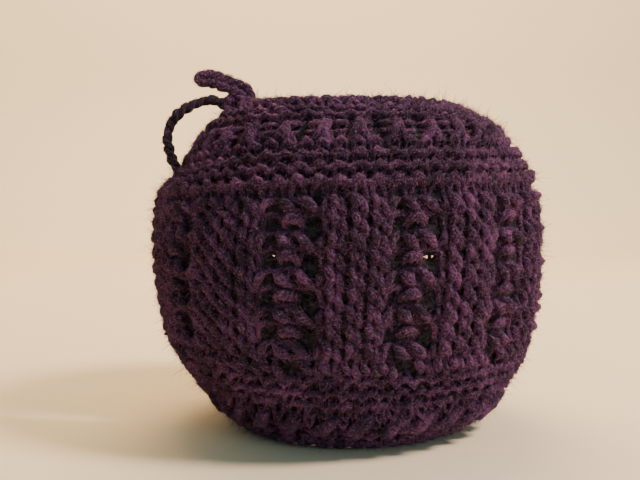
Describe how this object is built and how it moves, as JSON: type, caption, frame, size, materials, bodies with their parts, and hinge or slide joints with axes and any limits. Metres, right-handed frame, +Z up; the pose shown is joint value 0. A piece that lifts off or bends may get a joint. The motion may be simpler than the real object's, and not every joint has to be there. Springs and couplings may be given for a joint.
{
  "type": "tea cosy",
  "caption": "Hand-knitted round tea cosy in chunky plum wool, open at lid and base, split for the handle, with openwork lace columns, ribs and a tie.",
  "frame": {"origin": "centre of the flat hem, on the surface that the cosy stands on", "axes": "+Z up through the lid opening; -X towards the split for the handle, +X towards the pouring lip"},
  "size_m": [0.1677, 0.1645, 0.1501],
  "materials": {
    "plum_wool": "matt fuzzy knitted wool",
    "plum_wool_tie": "matt fuzzy wool chain"
  },
  "bodies": {
    "root": {"cosy_body": "plum_wool", "tie_knot": "plum_wool_tie", "bow_loop": "plum_wool_tie", "tie_strand": "plum_wool_tie"}
  },
  "joints": []
}
